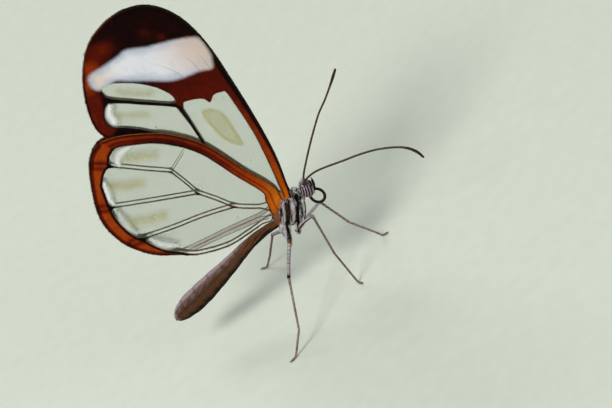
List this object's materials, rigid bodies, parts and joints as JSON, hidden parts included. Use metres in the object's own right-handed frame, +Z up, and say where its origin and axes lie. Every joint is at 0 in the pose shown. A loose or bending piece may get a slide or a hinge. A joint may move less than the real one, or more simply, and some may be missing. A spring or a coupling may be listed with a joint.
{
  "type": "glasswing butterfly",
  "caption": "Still life-size glasswing butterfly with clear windowed wings closed over its back, coiled tongue and long feelers, standing on slender legs.",
  "frame": {"origin": "on the floor, under the middle of the whole animal's outline box", "axes": "+X the way the animal faces, +Y its left side, across the closed wings, +Z up from the floor"},
  "size_m": [0.0326, 0.0182, 0.0382],
  "materials": {
    "body": "short grey and black hair",
    "abdomen": "chocolate brown scales with a faint violet-grey bloom",
    "eye": "glossy dark facets",
    "leg": "grey-brown scaled legs",
    "feeler": "thin dark olive-brown feelers and black tongue",
    "wing": "clear membrane windows inside orange-brown scaled bands"
  },
  "bodies": {
    "root": {"head": "body", "eye_left": "eye", "eye_right": "eye", "palp_left": "body", "palp_right": "body", "proboscis": "feeler", "antenna_left": "feeler", "antenna_right": "feeler", "thorax": "body", "abdomen_base": "abdomen", "abdomen_middle": "abdomen", "abdomen_tip": "abdomen", "forewing_left": "wing", "forewing_right": "wing", "hindwing_left": "wing", "hindwing_right": "wing", "foreleg_left": "leg", "foreleg_right": "leg", "midleg_left_femur": "leg", "midleg_left_tibia": "leg", "midleg_left_tarsus": "leg", "midleg_right_femur": "leg", "midleg_right_tibia": "leg", "midleg_right_tarsus": "leg", "hindleg_left_femur": "leg", "hindleg_left_tibia": "leg", "hindleg_left_tarsus": "leg", "hindleg_right_femur": "leg", "hindleg_right_tibia": "leg", "hindleg_right_tarsus": "leg"}
  },
  "joints": []
}
